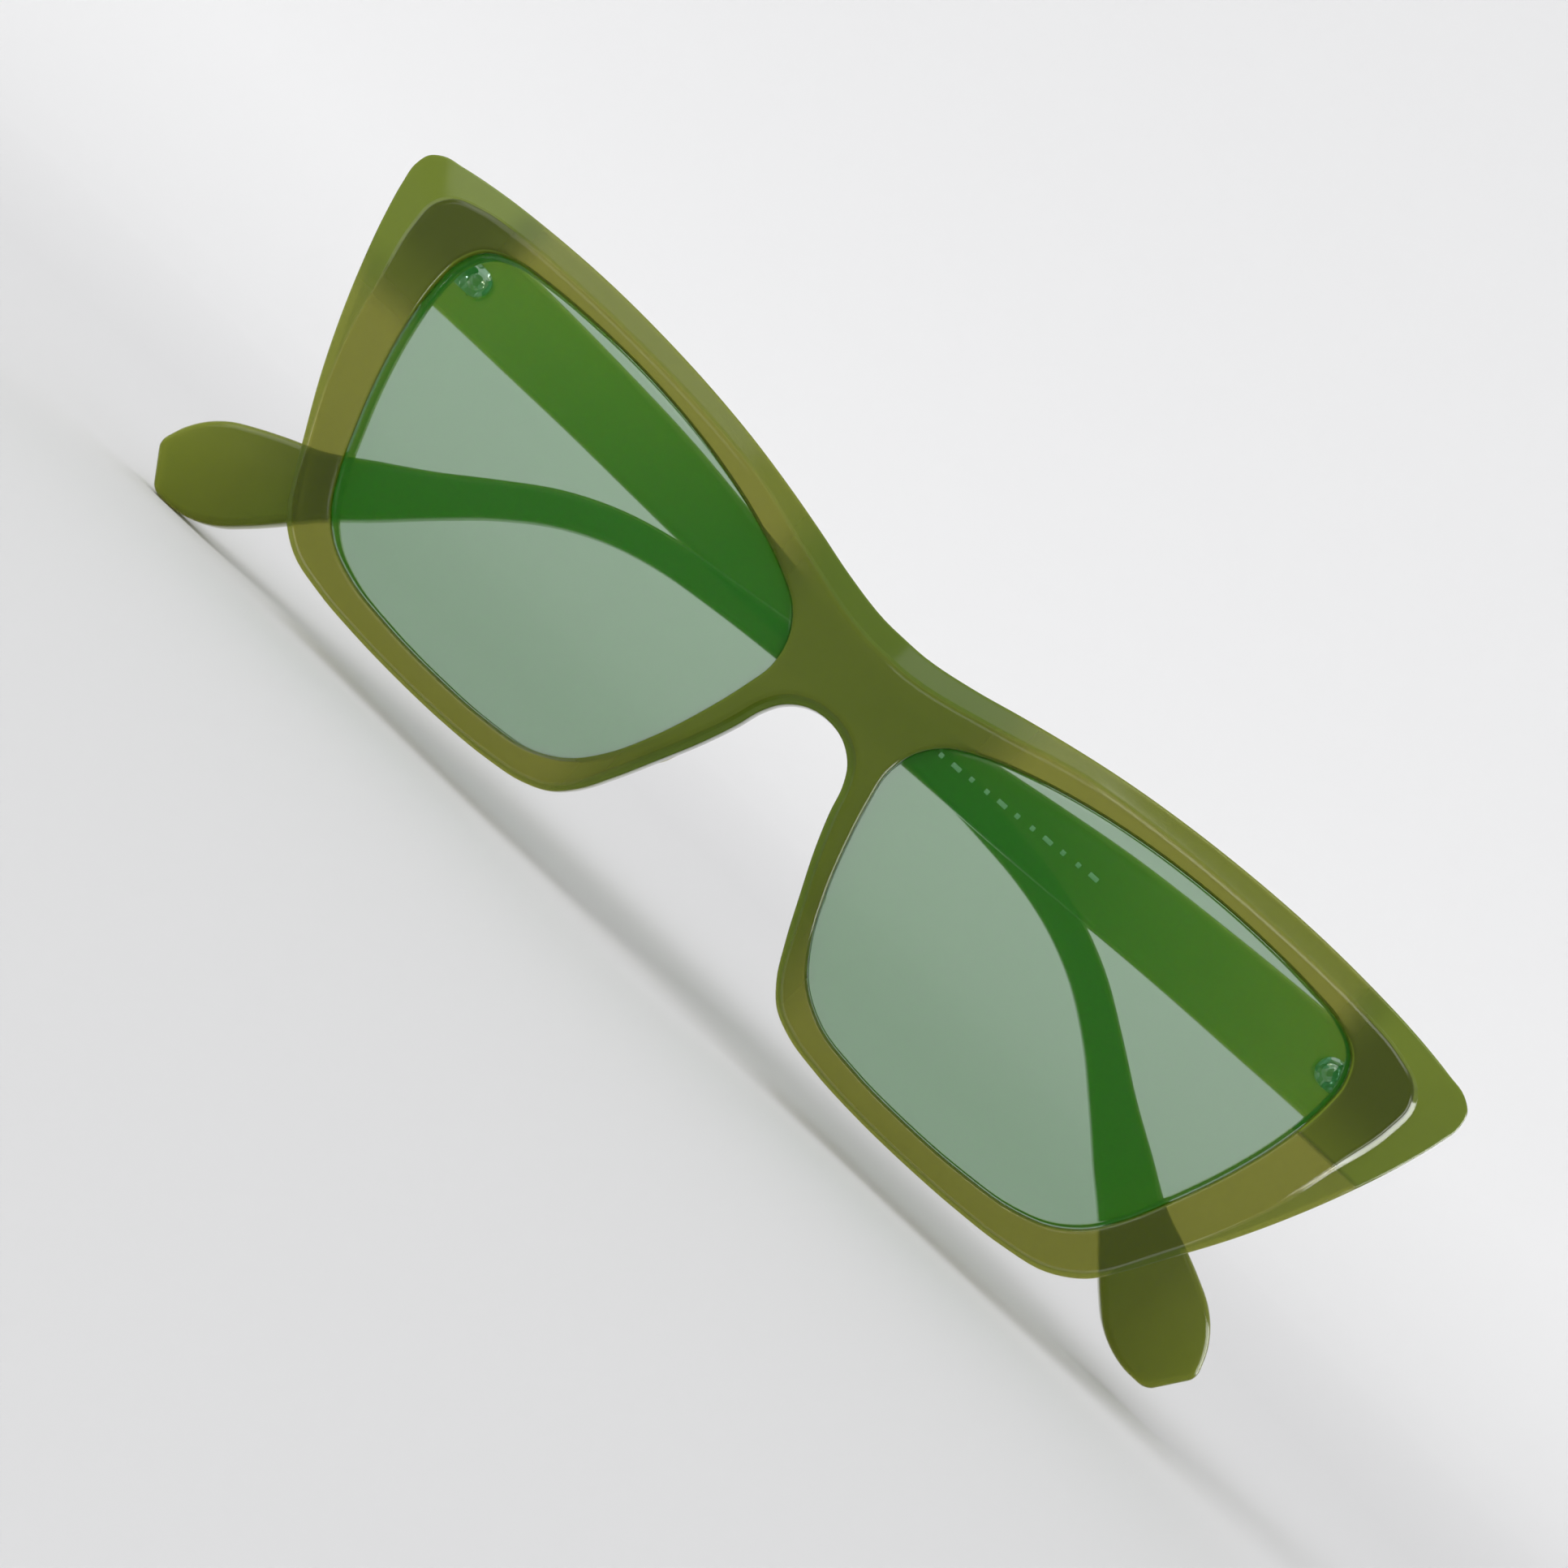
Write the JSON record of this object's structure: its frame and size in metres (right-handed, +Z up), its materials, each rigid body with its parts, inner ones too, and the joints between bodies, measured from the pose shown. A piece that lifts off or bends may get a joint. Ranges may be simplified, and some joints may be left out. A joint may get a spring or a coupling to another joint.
{
  "type": "cat eye sunglasses",
  "caption": "Cat eye sunglasses in translucent olive acetate with grey-green tinted lenses and folding temples on barrel hinges, folded.",
  "frame": {"origin": "bottom centre of the folded glasses' bounding box", "axes": "+Z up, the front looks towards -Y, the wearer's left is +X"},
  "size_m": [0.1401, 0.022, 0.046],
  "materials": {
    "front_acetate": "polished translucent",
    "temple_acetate": "polished translucent",
    "pad_acetate": "polished translucent",
    "lens_tint": "tinted see-through",
    "hinge_metal": "satin"
  },
  "bodies": {
    "front": {"front_frame": "front_acetate", "lens_left": "lens_tint", "lens_right": "lens_tint", "nose_pad_left": "pad_acetate", "nose_pad_right": "pad_acetate", "front_hinge_plate_left": "hinge_metal", "front_hinge_plate_right": "hinge_metal", "front_rivet_left_upper": "hinge_metal", "front_rivet_left_lower": "hinge_metal", "front_rivet_right_upper": "hinge_metal", "front_rivet_right_lower": "hinge_metal", "hinge_screw_left": "hinge_metal", "hinge_screw_right": "hinge_metal"},
    "temple_left": {"temple_left": "temple_acetate", "temple_hinge_leaf_left": "hinge_metal", "temple_rivet_left": "hinge_metal"},
    "temple_right": {"temple_right": "temple_acetate", "temple_hinge_leaf_right": "hinge_metal", "temple_rivet_right": "hinge_metal"}
  },
  "joints": [
    {"name": "left_temple_hinge", "type": "hinge", "parent": "front", "child": "temple_left", "pos_m": [0.0616, 0.00029, 0.0378], "axis": [0, 0, -1], "range_deg": [0, 91.7]},
    {"name": "right_temple_hinge", "type": "hinge", "parent": "front", "child": "temple_right", "pos_m": [-0.0616, 0.00029, 0.0378], "axis": [0, 0, 1], "range_deg": [0, 87.6]}
  ]
}
